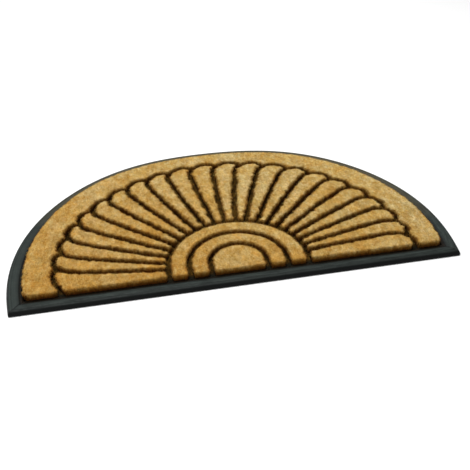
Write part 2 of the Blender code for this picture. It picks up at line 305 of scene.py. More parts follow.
def make_piece(name, points, faces, finish, nodes=(), bake_map=None, values=None,
               unseen=0):
    """One mesh object from whole arrays: points, and face arrays of 3 or 4 corners.

    The corners of the last face arrays, unseen in number, are laid in a strip of
    the bake map of their own.
    """
    mesh = bpy.data.meshes.new(name)
    corners = np.concatenate([f.ravel() for f in faces]).astype(np.int32)
    sizes = np.concatenate([np.full(len(f), f.shape[1]) for f in faces])
    starts = np.concatenate([[0], np.cumsum(sizes)[:-1]]).astype(np.int32)
    mesh.vertices.add(len(points))
    mesh.vertices.foreach_set("co", np.asarray(points, np.float32).ravel())
    mesh.loops.add(len(corners))
    mesh.loops.foreach_set("vertex_index", corners)
    mesh.polygons.add(len(sizes))
    mesh.polygons.foreach_set("loop_start", starts)
    mesh.update(calc_edges=True)
    if bake_map is not None:
        low, high = bake_map.min(0), bake_map.max(0)
        flat = ((bake_map - low) / (high - low))[corners]
        last = len(corners) - sum(f.size for f in faces[len(faces) - unseen:])
        flat[:last] = SEEN_MAP[0] + flat[:last] * SEEN_MAP[1]
        flat[last:] = UNSEEN_MAP[0] + flat[last:] * UNSEEN_MAP[1]
        layer = mesh.uv_layers.new(name="OFBake")
        layer.uv.foreach_set("vector", flat.astype(np.float32).ravel())
    for key, numbers in (values or {}).items():
        mesh.attributes.new(key, "FLOAT", "POINT").data.foreach_set(
            "value", np.asarray(numbers, np.float32))
    mesh.polygons.foreach_set("use_smooth", np.full(len(sizes), True))
    mesh.materials.append(finish)
    piece = bpy.data.objects.new(name, mesh)
    SCENE.collection.objects.link(piece)
    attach(piece, "root")
    if nodes:
        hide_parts(*nodes)


def grid_faces(ids):
    """Quads between neighbours of a grid of vertex numbers."""
    return np.stack([ids[:-1, :-1], ids[1:, :-1], ids[1:, 1:], ids[:-1, 1:]], -1).reshape(-1, 4)


def wall_faces(ids):
    """The same, facing the other way: for rings of points, the lowest first."""
    return np.stack([ids[:-1, :-1], ids[:-1, 1:], ids[1:, 1:], ids[1:, :-1]], -1).reshape(-1, 4)


# Coir

def two_sides(loop, start, end):
    """The outline cut at the points nearest to start and end: the part that runs
    anticlockwise from start to end, and the other part run backwards."""
    i = int(np.linalg.norm(loop - start, axis=1).argmin())
    turned = np.roll(loop, -i, axis=0)
    j = int(np.linalg.norm(turned - end, axis=1).argmin())
    return turned[:j + 1], np.vstack([turned[j:], turned[:1]])[::-1]


def inward(loop, distance):
    """The closed outline moved square to itself, inside."""
    t = np.roll(loop, -1, axis=0) - np.roll(loop, 1, axis=0)
    t /= np.maximum(np.linalg.norm(t, axis=1), 1e-9)[:, None]
    return loop + distance * np.stack([-t[:, 1], t[:, 0]], 1)


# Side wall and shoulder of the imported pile, as (distance in from the outline,
# height); the loose fibre ends reach on to the outline
PILE_EDGE = ((0.0012, PILE_FOOT), (0.0012, 0.0058), (0.0011, 0.0084), (0.0011, 0.0108),
             (0.0010, 0.0130), (0.0010, 0.0148), (0.0012, 0.0162), (0.0018, 0.0173),
             (0.0026, 0.0180), (0.0035, PACKED_TOP))


def nearest(points, line):
    """Distance from each point to the nearest point of the line, and its number."""
    far, which = [], []
    for part in np.array_split(points, max(1, len(points) * len(line) // 4000000)):
        square = ((part[:, None] - line[None]) ** 2).sum(2)
        which.append(square.argmin(1))
        far.append(np.sqrt(square.min(1)))
    return np.concatenate(far), np.concatenate(which)


def ragged(points, facing, opened):
    """How far the side wall stands in or out at each point (x, y, z): tufts of six
    millimetres and of three, less towards the foot and at the rim, half as far on
    the half rings and the disc, and more on walls that face sideways, which the
    brush runs along."""
    swing = (COARSE_SWING * drift(points * [1, 1, 0.35], COARSE_TUFT)
             + FINE_SWING * drift(points * [1, 1, 0.15], FINE_TUFT))
    swing *= (0.95 + 0.75 * facing[:, 0] ** 2) * (1.0 - 0.45 * opened)
    from_rings = np.hypot(points[:, 0], points[:, 1] - RING_Y)
    swing *= np.interp(from_rings, (0.112, 0.124), (0.50, 1.0))
    return swing * np.clip((points[:, 2] - 0.004) / 0.008, 0.1, 1.0)


def splayed(points):
    """How far the pile leans out over the rim of the back arc at its top: as a
    sine along the arc on the left, less an even loss from the right foot that
    fades out at the left shoulder."""
    angle, distance = from_centre(points)
    turn = (np.degrees(angle) + 90.0) % 360.0 - 90.0
    start, end = LEAN_ARC
    lean = (LEAN * np.sin(math.pi * np.clip((turn - start) / (end - start), 0.0, 1.0))
            - LEAN_LOSS * np.interp(turn, LOSS_FADES, (1.0, 0.0)))
    out = distance > back_radius(angle) - COIR_INSET - 0.006
    return lean * out * np.clip((points[:, 2] - RIM_TOP) / RIM_TOP, 0.0, 1.0)


def open_edge(around):
    """1 where the outline of a block faces the rim, 0 where it faces a channel, and
    the mean over seven points where the two meet."""
    angle, distance = from_centre(around)
    front = around[:, 1] < COIR_INSET + ON_EDGE
    back = distance > back_radius(angle) - COIR_INSET - ON_EDGE
    faces_rim = np.pad((front | back).astype(float), 3, "wrap")
    return np.convolve(faces_rim, np.ones(7) / 7, "valid")


def wall_light(height, opened):
    """How light a side wall is, 0 to 1: less with depth, faster in a channel."""
    depth = np.maximum(PACKED_TOP + 0.0002 - height, 0.0)
    channel = CHANNEL_LIGHT + 0.78 * np.exp(-(depth / LIT_DEPTH_CHANNEL) ** 1.4)
    return opened * np.exp(-(depth / LIT_DEPTH_RIM) ** 1.25) + (1 - opened) * channel


def top_light(distance, opened):
    """How light the top is: a little less within a few millimetres of a channel."""
    edge = np.clip(distance / 0.0060, 0.0, 1.0)
    return 1.0 - (1.0 - edge) ** 2 * (0.30 - 0.22 * opened)


def matched_sides(loop, start, end, front_run, by_angle):
    """The two sides of an outline from start to end, with the same number of
    stations: even ones on side a, and ones in step with them on side b, by length
    or by angle from the arc centre.

    Where side a first runs for a length, front_run, along the front edge, side b
    hangs back.
    """
    a, b = two_sides(loop, np.array(start), np.array(end))
    count = int(max(run_of(a)[-1], run_of(b)[-1]) / STEP) + 1
    a = at_lengths(a, np.linspace(0.0, run_of(a)[-1], count))
    run, total = run_of(a), run_of(b)[-1]
    hang = 0.35 * front_run
    order = np.interp(run, (0.0, front_run, run[-1] - front_run, run[-1]),
                      (0.0, hang, total - hang, total))
    if by_angle:
        aim, own = (np.arctan2(side[:, 1] - ARC_Y, side[:, 0]) for side in (a, b))
        aim, own = (np.where(v < -1.6, v + 2 * math.pi, v) for v in (aim, own))
        level = np.maximum.accumulate(np.interp(-aim, -own, run_of(b)))
        order = np.clip(level, np.minimum(order, hang), np.maximum(order, total - hang))
    if front_run > NO_RUN:
        order = np.convolve(np.pad(order, 6, "edge"), np.ones(13) / 13, "valid")
        order += np.linspace(-order[0], total - order[-1], count)
        order += 0.12 * (run * total / run[-1] - order)
    return a, at_lengths(b, order)


def block_faces(levels, n, count, across):
    """Faces of a block: the wall, of so many levels of n points, then the top, with
    a fan of triangles at each end, and the foot."""
    ids = np.arange(levels * n).reshape(levels, n)
    ids = np.hstack([ids, ids[:, :1]])
    edge, foot = ids[-1], ids[0]
    inner = levels * n + np.arange((count - 2) * (across - 1))
    grid = np.empty((count, across + 1), int)
    grid[:, 0] = edge[:count]
    grid[:, -1] = np.concatenate([edge[:1], edge[count:n][::-1], edge[count - 1:count]])
    grid[1:-1, 1:-1] = inner.reshape(count - 2, across - 1)
    first = np.stack([np.full(across, edge[0]), grid[1, :-1], grid[1, 1:]], 1)
    last = np.stack([grid[-2, :-1], np.full(across, edge[count - 1]), grid[-2, 1:]], 1)
    other = foot[count:n][::-1]
    below = np.stack([foot[1:count - 2], other[:-1], other[1:], foot[2:count - 1]], 1)
    below_ends = np.array([[foot[0], other[0], foot[1]],
                           [foot[count - 1], foot[count - 2], other[-1]]])
    return wall_faces(ids), [first, grid_faces(grid[1:-1]), last], [below, below_ends]


def coir_block(name, loop, start, end, across, front_run=NO_RUN, by_angle=False):
    """One block of pile.

    The outline is cut in two sides with the same number of stations.  The top is
    the ruled surface (station, share across) between them, the wall is the edge
    profile carried round the outline, and the foot is ruled again.  Smooth noise
    moves the wall in and out, which fades across the top, and lifts the top.
    """
    a, b = matched_sides(loop, start, end, front_run, by_angle)
    around = np.vstack([a, b[-2:0:-1]])
    count, n = len(a), len(around)
    square = inward(around, 1.0) - around
    opened = open_edge(around)

    rings, light = [], []
    for inset, height in PILE_EDGE:
        at = np.hstack([inward(around, inset), np.full((n, 1), height)])
        push = ragged(at, square, opened) - splayed(at)
        swing = np.hstack([square * push[:, None], np.zeros((n, 1))])
        at += swing
        rings.append(at)
        lit = wall_light(height - 0.0022 * drift(at * [1, 1, 0.3] + 0.23, 0.0034), opened)
        light.append(np.minimum(lit, top_light(0.0015 * (height > 0.0175), opened)))
    calm = rings[-1] - swing
    (swing_a, swing_b), (calm_a, calm_b) = (
        (ring[:count, None],
         np.vstack([ring[:1], ring[count:][::-1], ring[count - 1:count]])[:, None])
        for ring in (swing, calm))
    share = np.linspace(0.0, 1.0, across + 1)[None, :, None]
    top = (calm_a * (1 - share) + calm_b * share
           + swing_a * (1 - share) ** 4 + swing_b * share ** 4)
    ahead = np.linalg.norm(top[2:, 1:-1] - top[:-2, 1:-1], axis=2)
    aside = np.linalg.norm(top[1:-1, 2:] - top[1:-1, :-2], axis=2)
    loose = np.clip(np.minimum(ahead, aside).ravel() / (2.0 * STEP), 0.0, 1.0)
    inner = top[1:-1, 1:-1].reshape(-1, 3)
    inner[:, :2] += 0.22 * STEP * loose[:, None] * RNG.uniform(-1.0, 1.0, (len(inner), 2))
    brushed = inner * BRUSHED
    inner[:, 2] += (0.00042 * drift(brushed, 0.0080) + 0.00036 * drift(brushed, 0.0038)
                    + 0.00022 * loose * RNG.standard_normal(len(inner)))
    rings[-1][:, 2] += 0.0002 * drift(rings[-1], 0.004)
    distance, which = nearest(inner[:, :2], around)
    light.append(top_light(distance, opened[which]))
    light = np.concatenate(light)

    wall, top_faces, foot_faces = block_faces(len(rings), n, count, across)
    flat = np.vstack([inward(around, inset - 0.8 * (PACKED_TOP - height))
                      for inset, height in PILE_EDGE] + [inner[:, :2]])
    points = np.vstack(rings + [inner])
    points[:, 1] -= MID_Y
    make_piece(name + "_pile", points, [wall, *top_faces, *foot_faces], COIR_PILE,
               [name], bake_map=flat @ end_to_end(around), values={"light": light},
               unseen=len(foot_faces))
    cut_ends(name, points, [*top_faces, wall], light, around, opened)


def end_to_end(loop):
    """The turn that lays the long way of an outline along the first axis."""
    _, axes = np.linalg.eigh(np.cov((loop - loop.mean(0)).T))
    return axes[:, ::-1]


def top_fibres(points, faces, light):
    """Short fibres at random on the top and its shoulder, as many to an area.

    Each leans out from the surface, with its neighbours in a tuft, and lies in
    the light of the spot that it stands on.
    """
    tris = np.vstack([f if f.shape[1] == 3 else np.vstack([f[:, [0, 1, 2]], f[:, [0, 2, 3]]])
                      for f in faces])
    tris = tris[points[tris][:, :, 2].mean(1) > SHOULDER]
    p = points[tris]
    normal = np.cross(p[:, 1] - p[:, 0], p[:, 2] - p[:, 0])
    area = np.linalg.norm(normal, axis=1) / 2.0
    count = int(area.sum() * 1e4 * FIBRES_TO_CM2)
    pick = RNG.choice(len(p), count, p=area / area.sum())
    share = np.sort(RNG.random((count, 2)), axis=1)
    share = np.stack([share[:, 0], share[:, 1] - share[:, 0], 1.0 - share[:, 1]], 1)
    root = (p[pick] * share[:, :, None]).sum(1)
    way = normal[pick] / (2.0 * area[pick, None]) * 0.75 + [0.0, 0.0, 0.45]
    way += 0.36 * RNG.standard_normal((count, 3))
    way[:, 2] = np.abs(way[:, 2]) + 0.12
    way[:, :2] += 0.30 * np.stack([drift(root, LEAN_TUFT), drift(root + 0.37, LEAN_TUFT)], 1)
    way /= np.linalg.norm(way, axis=1)[:, None]
    reach = 0.00080 + 0.00080 * RNG.random(count) ** 2
    lit = (light[tris[pick]] * share).sum(1)
    return (root - way * ROOT_DEPTH, way, reach + ROOT_DEPTH,
            RNG.uniform(*TOP_RADII, count), lit, lit)


def spots_round(around, opened, step):
    """Spots at random round an outline, one to a step: the place of each, the way
    along and the way out there, and how far it faces the rim."""
    loop = np.vstack([around, around[:1]])
    run = run_of(loop)[-1]
    s = np.sort(RNG.random(int(run / step))) * run
    at = at_lengths(loop, s)
    t = at_lengths(loop, (s + DIRECTION_STEP) % run) - at
    t /= np.maximum(np.linalg.norm(t, axis=1), 1e-9)[:, None]
    out = np.stack([t[:, 1], -t[:, 0]], 1)
    return at, t, out, np.interp(s, run_of(loop), np.append(opened, opened[0]))


def wall_fibres(around, opened):
    """Long fibres side by side down the wall, darker at the foot than at the tip."""
    at, t, out, facing = spots_round(around, opened, WALL_FIBRE_STEP)
    count = len(at)
    low = RNG.uniform(*WALL_ROOTS, count)
    high = np.minimum(low + RNG.uniform(*WALL_RISE, count), RNG.uniform(*WALL_TIPS, count))
    foot = np.hstack([at - out * 0.0012, low[:, None]])
    tip = np.hstack([at - out * RNG.uniform(0.0001, 0.0013, (count, 1))
                     + t * RNG.normal(0, 0.0009, (count, 1)), high[:, None]])
    for end in (foot, tip):
        end[:, :2] -= out * (ragged(end, out, facing) - splayed(end))[:, None]
    side = tip - foot
    reach = np.linalg.norm(side, axis=1)
    foot[:, 1] -= MID_Y
    return (foot, side / reach[:, None], reach, RNG.uniform(*WALL_RADII, count),
            wall_light(low, facing), wall_light(high, facing))


def stray_fibres(around, opened):
    """Fibres that have come loose at the shoulder and reach out over the channel,
    nearly level."""
    at, t, out, facing = spots_round(around, opened, STRAY_STEP)
    count = len(at)
    root = np.hstack([at - out * 0.0014, RNG.uniform(*STRAY_ROOTS, (count, 1))])
    root[:, :2] -= out * (ragged(root, out, facing) - splayed(root))[:, None]
    way = np.hstack([out + t * RNG.normal(0.0, 0.35, (count, 1)),
                     RNG.uniform(-0.15, 0.45, (count, 1))])
    way /= np.linalg.norm(way, axis=1)[:, None]
    root[:, 1] -= MID_Y
    reach = RNG.uniform(*STRAY_REACH, count) * (1.0 - 0.3 * facing)
    lit = np.full(count, 0.80)
    return root, way, reach, RNG.uniform(*STRAY_RADII, count), lit, lit


def cut_ends(name, points, faces, light, around, opened):
    """All the loose fibres of one block.

    A fibre is a slim closed wedge: three points round its root, in a plane square
    to its direction, and one at its tip.  Its tone and hue are partly its own
    and partly those of its tuft.
    """
    kinds = zip(top_fibres(points, faces, light), wall_fibres(around, opened),
                stray_fibres(around, opened))
    root, way, reach, radius, lit, lit_tip = (np.concatenate(three) for three in kinds)
    brushed = root * BRUSHED
    tone = np.clip(0.5 + 0.34 * drift(brushed, 0.0042) + 0.24 * drift(brushed, 0.0090)
                   + 0.13 * RNG.standard_normal(len(root)), 0.0, 1.0)
    hue = np.clip(0.5 + 0.55 * drift(brushed + 0.71, 0.0060)
                  + 0.10 * RNG.standard_normal(len(root)), 0.0, 1.0)

    n = len(root)
    spare = RNG.standard_normal((n, 3))
    e1 = np.cross(way, spare)
    e1 /= np.linalg.norm(e1, axis=1)[:, None]
    e2 = np.cross(way, e1)
    turn = np.array([0.0, 2.0, 4.0]) * math.pi / 3.0
    base = root[:, None] + radius[:, None, None] * (np.cos(turn)[None, :, None] * e1[:, None]
                                                     + np.sin(turn)[None, :, None] * e2[:, None])
    body = np.concatenate([base, (root + way * reach[:, None])[:, None]], 1)
    first = np.arange(n)[:, None] * 4
    tri = np.concatenate([first + [corners] for corners in ((0, 2, 1), (0, 1, 3), (1, 2, 3),
                                                            (2, 0, 3))])
    cols = int(math.ceil(math.sqrt(n)))
    cell = np.stack([np.arange(n) % cols, np.arange(n) // cols], 1)[:, None]
    spot = np.array([[0.06, 0.06], [0.94, 0.10], [0.50, 0.94], [0.50, 0.36]])[None]
    make_piece(name + "_fibres", body.reshape(-1, 3), [tri], COIR_FIBRE,
               bake_map=(cell + spot).reshape(-1, 2), values={
                   "tone": np.repeat(tone, 4), "hue": np.repeat(hue, 4),
                   "along": np.tile([0.0, 0.0, 0.0, 1.0], n),
                   "light": np.stack([lit, lit, lit, lit_tip], 1).ravel()})


# Finishes

def new_finish(name, colour, roughness, **settings):
    """A material, its tree and its shader; a name with spaces as underscores is an
    input of the shader."""
    finish = bpy.data.materials.new(name)
    finish.use_nodes = True
    finish.diffuse_color = (*colour, 1.0)
    shader = finish.node_tree.nodes["Principled BSDF"]
    shader.inputs["Roughness"].default_value = roughness
    for key, value in settings.items():
        shader.inputs[key.replace("_", " ")].default_value = value
    return finish, finish.node_tree, shader


def node(tree, kind, **settings):
    """A node with its settings; a name with spaces as underscores is an input."""
    made = tree.nodes.new("ShaderNode" + kind)
    for key, value in settings.items():
        if hasattr(made, key):
            setattr(made, key, value)
        else:
            made.inputs[key.replace("_", " ")].default_value = value
    return made


def ramp(tree, factor, stops):
    """Colour ramp through (place, colour) stops."""
    made = tree.nodes.new("ShaderNodeValToRGB")
    bar = made.color_ramp.elements
    while len(bar) < len(stops):
        bar.new(0.5)
    for stop, (place, colour) in zip(bar, stops):
        stop.position, stop.color = place, (*colour, 1.0)
    tree.links.new(factor, made.inputs[0])
    return made.outputs[0]


def mix(tree, a, b, factor, blend="MIX"):
    """Mix of two colours, each a socket or a plain colour."""
    made = tree.nodes.new("ShaderNodeMix")
    made.data_type, made.blend_type = "RGBA", blend
    for socket, value in ((made.inputs[0], factor), (made.inputs[6], a), (made.inputs[7], b)):
        if isinstance(value, bpy.types.NodeSocket):
            tree.links.new(value, socket)
        elif isinstance(value, tuple):
            socket.default_value = (*value, 1.0)
        else:
            socket.default_value = value
    return made.outputs[2]


def span(tree, value, low, high, to_low=0.0, to_high=1.0):
    made = node(tree, "MapRange", From_Min=low, From_Max=high, To_Min=to_low, To_Max=to_high)
    tree.links.new(value, made.inputs[0])
    return made.outputs[0]


def noise(tree, place, scale, detail=2.0, roughness=0.5):
    made = node(tree, "TexNoise", Scale=scale, Detail=detail, Roughness=roughness)
    tree.links.new(place, made.inputs["Vector"])
    return made.outputs["Factor"] if "Factor" in made.outputs else made.outputs["Fac"]


def value_of(tree, key):
    return node(tree, "Attribute", attribute_name=key).outputs["Fac"]


def vector(tree, operation, place, numbers):
    made = node(tree, "VectorMath", operation=operation)
    made.inputs[1].default_value = numbers
    tree.links.new(place, made.inputs[0])
    return made.outputs["Value" if operation == "DOT_PRODUCT" else "Vector"]


def grain(tree, shader, height, strength, depth):
    """Bump of that depth, from a height of 0 to 1."""
    bump = node(tree, "Bump", Strength=strength, Distance=depth)
    tree.links.new(height, bump.inputs["Height"])
    tree.links.new(bump.outputs[0], shader.inputs["Normal"])


STRAW = (0.526, 0.340, 0.102)
HUSK_BROWN = (0.503, 0.286, 0.062)
BLEACHED = (0.550, 0.398, 0.160)
UNCHANGED = (1.0, 1.0, 1.0)         # to multiply by, where a colour stays as it is


def coir_colour(tree):
    """Straw, paler and browner in patches from the size of a hand to that of a tuft, drawn out
    front to back as the pile is brushed.  Its hue is more orange or more yellow in patches of their
    own, and it is paler and less orange towards the back right, darker and more orange towards the
    front left."""
    place = node(tree, "TexCoord").outputs["Object"]
    brushed = vector(tree, "MULTIPLY", place, BRUSHED)
    hue = ramp(tree, noise(tree, vector(tree, "ADD", brushed, (3.1, 1.7, 0.0)), 13.0, 5.0, 1.0),
               ((0.40, HUSK_BROWN), (0.50, STRAW), (0.60, BLEACHED)))
    tone = ramp(tree, noise(tree, brushed, 58.0, 3.0, 1.0),
                ((0.34, (0.72, 0.655, 0.51)), (0.66, (1.28, 1.345, 1.49))))
    paler_back_right = ramp(tree, span(tree, vector(tree, "DOT_PRODUCT", place, (0.6, 0.8, 0.0)), -0.3, 0.3),
                 ((0.0, (0.93, 0.84, 0.69)), (1.0, (1.08, 1.19, 1.40))))
    return place, mix(tree, mix(tree, hue, tone, 1.0, "MULTIPLY"), paler_back_right, 1.0, "MULTIPLY")


def in_light(tree, colour):
    """The colour by the light value of its place: brown, then black, as it falls."""
    shade = ramp(tree, value_of(tree, "light"), (
        (0.0, (0.045, 0.014, 0.001)), (0.06, (0.120, 0.052, 0.007)),
        (0.25, (0.330, 0.200, 0.062)), (0.55, (0.600, 0.490, 0.310)), (1.0, UNCHANGED)))
    return mix(tree, colour, shade, 1.0, "MULTIPLY")


def coir_pile():
    """Coir, with painted shade in the gaps between its fibres."""
    finish, tree, shader = new_finish("coir pile", STRAW, 0.92,
                                      Specular_IOR_Level=0.08, Sheen_Weight=0.01)
    place, colour = coir_colour(tree)
    # Painted shade: fine dark specks for the gaps between the fibres
    gap_shade = ramp(tree, noise(tree, place, 900.0, 2.0, 0.6),
                ((0.38, (0.32, 0.27, 0.22)), (0.58, UNCHANGED)))
    colour = mix(tree, colour, gap_shade, 0.75, "MULTIPLY")
    tree.links.new(in_light(tree, colour), shader.inputs["Base Color"])
    grain(tree, shader, noise(tree, place, 1100.0, 2.0, 0.6), 0.8, 0.0006)
    return finish


def coir_fibre():
    """Each fibre has its own tone and hue, and is darker at the root than at the cut end, which is
    painted shade down among the fibres.
    """
    finish, tree, shader = new_finish("coir fibre", STRAW, 0.85,
                                      Specular_IOR_Level=0.08, Sheen_Weight=0.01)
    _, colour = coir_colour(tree)
    own = ramp(tree, value_of(tree, "tone"), (
        (0.0, (0.17, 0.080, 0.012)), (0.30, (0.43, 0.250, 0.060)),
        (0.65, (0.62, 0.405, 0.115)), (1.0, (0.90, 0.680, 0.270))))
    warm = ramp(tree, value_of(tree, "hue"), (
        (0.0, (1.14, 0.86, 0.72)), (0.5, UNCHANGED), (1.0, (0.88, 1.08, 1.10))))
    colour = mix(tree, mix(tree, colour, own, 0.50), warm, 1.0, "MULTIPLY")
    # Painted shade: darker towards the root of each fibre
    root = ramp(tree, value_of(tree, "along"), ((0.0, (0.56, 0.46, 0.34)), (0.7, UNCHANGED)))
    colour = mix(tree, colour, root, 1.0, "MULTIPLY")
    tree.links.new(in_light(tree, colour), shader.inputs["Base Color"])
    return finish


def moulded_rubber():
    """Near black, greyed by dust along the face of the rim, with flow lines that follow the rim, a
    fine matt grain, and coir dust on the inner step.  There is less of the dust, as painted shade,
    on the front, the outer edge, the groove, the mitres and next to the pile."""
    finish, tree, shader = new_finish("moulded rubber", (0.03, 0.034, 0.033), 0.5,
                                      Specular_IOR_Level=0.11)
    place = node(tree, "TexCoord").outputs["Object"]
    cloud = ramp(tree, noise(tree, place, 38.0, 4.0, 0.6),
                 ((0.3, (0.0230, 0.0305, 0.0275)), (0.7, (0.035, 0.0450, 0.0405))))
    lane = node(tree, "CombineXYZ")
    for socket, key, scale in ((0, "along", 26.0), (1, "inset", 310.0)):
        tree.links.new(span(tree, value_of(tree, key), 0.0, 1.0, 0.0, scale), lane.inputs[socket])
    flow = ramp(tree, noise(tree, lane.outputs[0], 1.0, 4.0, 0.8),
                ((0.36, (0.46, 0.46, 0.46)), (0.64, (1.62, 1.62, 1.62))))
    face = mix(tree, cloud, flow, 1.0, "MULTIPLY")
    # Dust colour by the rim's dust value, which also holds painted shade: low on the front, the
    # outer edge, the groove, the mitres and next to the pile
    colour = mix(tree, (0.0030, 0.0036, 0.0034), face, value_of(tree, "dust_and_shade"))
    colour = mix(tree, colour, (0.150, 0.112, 0.050), value_of(tree, "husk"))
    litter = ramp(tree, noise(tree, place, 420.0, 3.0, 0.7),
                  ((0.45, (0.0035, 0.0022, 0.0008)), (0.70, (0.016, 0.0095, 0.0030))))
    colour = mix(tree, colour, litter, value_of(tree, "web"))
    tree.links.new(colour, shader.inputs["Base Color"])
    matt = span(tree, noise(tree, place, 150.0, 3.0), 0.3, 0.7, 0.46, 0.66)
    tree.links.new(matt, shader.inputs["Roughness"])
    grain(tree, shader, noise(tree, place, 1400.0, 3.0, 0.6), 0.35, 0.0003)
    return finish


def dusty_rubber():
    """The ribs between the blocks: black under a brown litter of coir dust, which
    has been swept from their front ends."""
    finish, tree, shader = new_finish("dusty rubber", (0.03, 0.018, 0.004), 0.9,
                                      Specular_IOR_Level=0.04)
    place = node(tree, "TexCoord").outputs["Object"]
    patches = ramp(tree, noise(tree, place, 60.0, 3.0, 0.7),
                   ((0.40, (0.45, 0.45, 0.45)), (0.62, (1.5, 1.5, 1.5))))
    litter = ramp(tree, noise(tree, place, 520.0, 3.0, 0.8), (
        (0.36, (0.0120, 0.0052, 0.0008)), (0.54, (0.044, 0.0215, 0.0024)),
        (0.68, (0.120, 0.062, 0.0095))))
    litter = mix(tree, litter, patches, 1.0, "MULTIPLY")
    colour = mix(tree, (0.0070, 0.0068, 0.0042), litter, value_of(tree, "litter"))
    tree.links.new(colour, shader.inputs["Base Color"])
    grain(tree, shader, noise(tree, place, 900.0, 3.0, 0.7), 0.6, 0.0005)
    return finish


COIR_PILE, COIR_FIBRE = coir_pile(), coir_fibre()
RUBBER, DUSTY_RUBBER = moulded_rubber(), dusty_rubber()


# Rubber

# Rim from the underside up the outer edge, over a small groove and a crowned face,
# and down inside, as (distance in from the outline, height)
RIM = ((0.0272, 0.0000), (0.0010, 0.0000), (0.0003, 0.0003), (0.0000, 0.0010),
       (0.0000, 0.0022), (0.0008, 0.0042), (0.0018, 0.0060), (0.0027, 0.0072),
       (0.0036, 0.0079), (0.0046, 0.0082), (0.0062, 0.0083), (0.0075, 0.0083),
       (0.0081, 0.0080), (0.0087, 0.0080), (0.0093, 0.0084), (0.0115, RIM_TOP),
       (0.0140, RIM_TOP), (0.0165, 0.0083), (0.0185, 0.0080), (0.0200, 0.0076),
       (0.0210, 0.0070), (0.0217, 0.0065), (0.0228, WEB_TOP), (0.0272, WEB_TOP))
# Dust on the rim, with painted shade in it, as (distance in from the outline, share on the arc,
# share on the front).
# The front has less, which is painted shade, and so has the small groove; the outer edge and the
# foot next to the pile have none, partly bare rubber and partly painted shade.
RIM_DUST_AND_SHADE = ((0.0022, 0.0, 0.0), (0.0048, 0.90, 0.38), (0.0078, 1.0, 0.46),
            (0.0084, 0.60, 0.26), (0.0092, 1.0, 0.52), (0.0145, 1.0, 0.76),
            (0.0172, 0.86, 0.60), (0.0196, 0.44, 0.26), (0.0214, 0.0, 0.0))
# Share of the arc's dust that is left at places across the mat, as (x, share): partly dust, partly
# painted light, lightest at the left end
DUST_AND_LIGHT_ACROSS = ((-0.375, 1.0), (-0.355, 0.80), (-0.330, 0.70), (-0.250, 0.75),
               (-0.100, 0.95), (0.300, 0.80))
HUSK_ARC = (8.0, 152.0)             # degrees along the arc that have coir dust on the rim
FRONT_POINTS, CORNER_POINTS, ARC_POINTS = 181, 7, 361   # on each line of the rim
MITRE_WIDTH, MITRE_DEPTH = 0.0015, 0.0006
PLATE_INSET, PLATE_LOW, PLATE_TOP = 0.0268, 0.0001, 0.0030


def rim_ring(inset):
    """The outline moved in by inset: front edge, right corner arc, back arc, left
    corner arc, always with the same number of points on each."""
    ends = []
    for side, radius in zip((-1, 1), CORNER_RADII):
        r = max(radius - inset, 0.0005)
        y = inset + r
        reach = 0.0
        for _ in range(4):
            x = side * math.sqrt((back_radius(reach) - y) ** 2 - (y - ARC_Y) ** 2)
            reach = math.atan2(y - ARC_Y, x)
        ends.append((x, y, r, reach))
    (lx, ly, lr, left), (rx, ry, rr, right) = ends
    left = left % (2 * math.pi)
    even = np.linspace(0.0, 1.0, FRONT_POINTS)
    share = 0.25 * even + 0.75 * (0.5 - 0.5 * np.cos(math.pi * even))
    front = np.stack([lx + (rx - lx) * share, np.full(FRONT_POINTS, inset)], 1)
    a = np.linspace(-math.pi / 2, right, CORNER_POINTS + 2)[1:-1]
    right_arc = np.stack([rx + rr * np.cos(a), ry + rr * np.sin(a)], 1)
    a = right + (left - right) * np.interp(np.linspace(0.0, 1.0, ARC_POINTS), even, share)
    far = back_radius(a) - inset
    back = np.stack([far * np.cos(a), ARC_Y + far * np.sin(a)], 1)
    a = np.linspace(left, 1.5 * math.pi, CORNER_POINTS + 2)[1:-1]
    left_arc = np.stack([lx + lr * np.cos(a), ly + lr * np.sin(a)], 1)
    return np.vstack([front, right_arc, back, left_arc])


